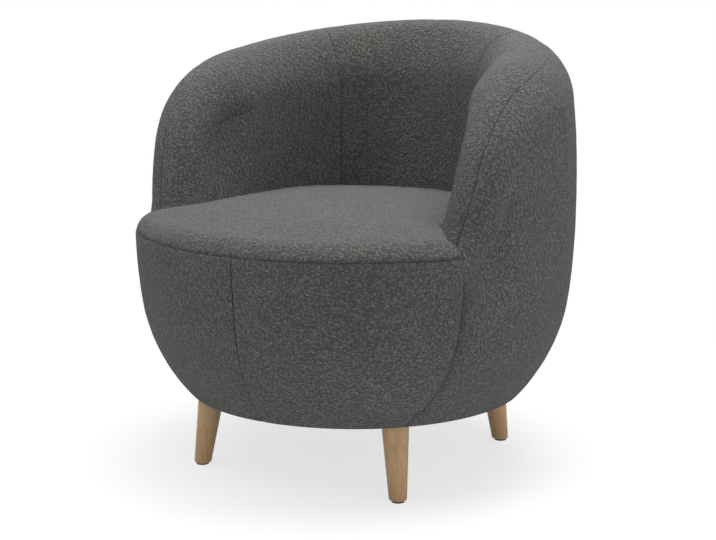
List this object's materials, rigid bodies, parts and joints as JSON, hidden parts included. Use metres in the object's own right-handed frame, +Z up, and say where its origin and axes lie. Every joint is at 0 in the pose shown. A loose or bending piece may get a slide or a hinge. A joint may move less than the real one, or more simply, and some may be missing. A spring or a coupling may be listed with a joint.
{
  "type": "tub chair",
  "caption": "Round upholstered tub chair in looped fabric: padded wrap-around back and arms that sweep down to a drum front, crowned seat, splayed tapered wooden legs.",
  "frame": {"origin": "on the floor, under the middle of the round body", "axes": "+Z up; -Y is the way the sitter faces, out of the front of the drum; +X to the right-hand arm as seen from in front"},
  "size_m": [0.761, 0.7601, 0.758],
  "materials": {
    "looped_fabric": "dark grey looped pile",
    "foam": "upholstery foam, seen as a soft open cell",
    "felt": "needled felt",
    "leg_oak": "clear matt oak",
    "frame_plywood": "raw plywood",
    "black_cambric": "thin non-woven cloth",
    "black_plastic": "moulded",
    "zinc_steel": "zinc plated",
    "webbing": "woven elastic strap"
  },
  "bodies": {
    "root": {"arm_post_left": "frame_plywood", "arm_post_right": "frame_plywood", "base_board": "frame_plywood", "dust_cover": "black_cambric", "front_cover_left": "looped_fabric", "front_cover_right": "looped_fabric", "front_foam": "foam", "front_lining": "felt", "glides": "black_plastic", "hanger_bolts": "zinc_steel", "inner_cover_back": "looped_fabric", "inner_cover_left": "looped_fabric", "inner_cover_right": "looped_fabric", "inner_lining": "felt", "leg_block_front_left": "frame_plywood", "leg_block_front_right": "frame_plywood", "leg_block_rear_left": "frame_plywood", "leg_block_rear_right": "frame_plywood", "leg_front_left": "leg_oak", "leg_front_right": "leg_oak", "leg_rear_left": "leg_oak", "leg_rear_right": "leg_oak", "outer_cover_left": "looped_fabric", "outer_cover_right": "looped_fabric", "outer_lining": "felt", "rib_back_left": "frame_plywood", "rib_back_right": "frame_plywood", "rib_front_left": "frame_plywood", "rib_front_middle": "frame_plywood", "rib_front_right": "frame_plywood", "rib_rear_left": "frame_plywood", "rib_rear_right": "frame_plywood", "rib_side_left": "frame_plywood", "rib_side_right": "frame_plywood", "seat_cover": "looped_fabric", "seat_felt": "felt", "seat_foam": "foam", "seat_frame": "frame_plywood", "top_rail": "frame_plywood", "webbing_across": "webbing", "webbing_lengthwise": "webbing", "wrap_foam": "foam"}
  },
  "joints": []
}
